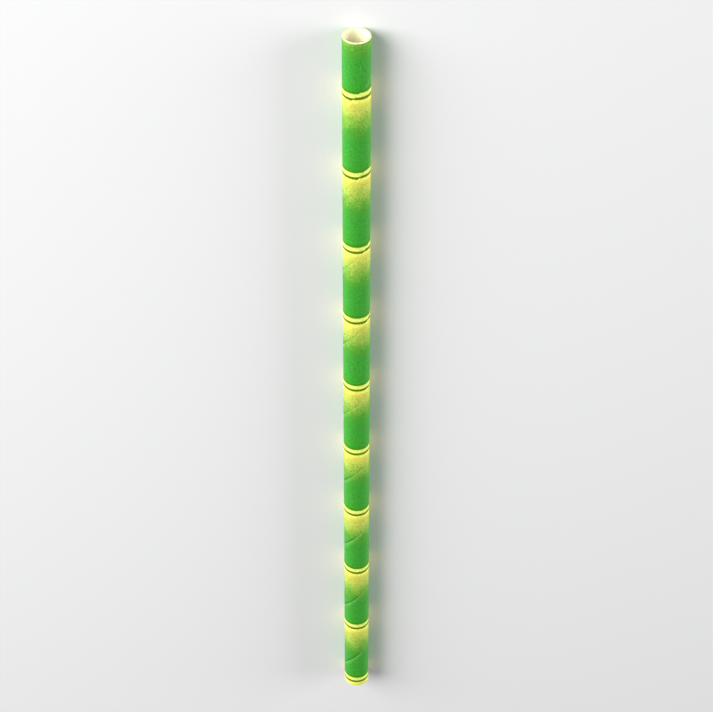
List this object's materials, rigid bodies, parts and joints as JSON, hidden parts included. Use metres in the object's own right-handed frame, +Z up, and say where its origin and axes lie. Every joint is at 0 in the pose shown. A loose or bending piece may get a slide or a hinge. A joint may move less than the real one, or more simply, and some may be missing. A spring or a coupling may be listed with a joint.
{
  "type": "paper drinking straw",
  "caption": "Straight round paper drinking straw, open at both square-cut ends, printed to look like a green bamboo cane.",
  "frame": {"origin": "middle of the straw's length, on the surface that it lies on, under its axis", "axes": "+X along the straw towards the drinking end, +Z up, +Y across it"},
  "size_m": [0.197, 0.006, 0.006],
  "materials": {
    "printed_paper": "semi-matt printed paper: green with yellow bands, dark lines and a speckled fade at each bamboo node",
    "white_paper": "uncoated cream-white paper of the inside wall, the cut ends and the seam's cut edges"
  },
  "bodies": {
    "root": {"straw_tube": "printed_paper"}
  },
  "joints": []
}
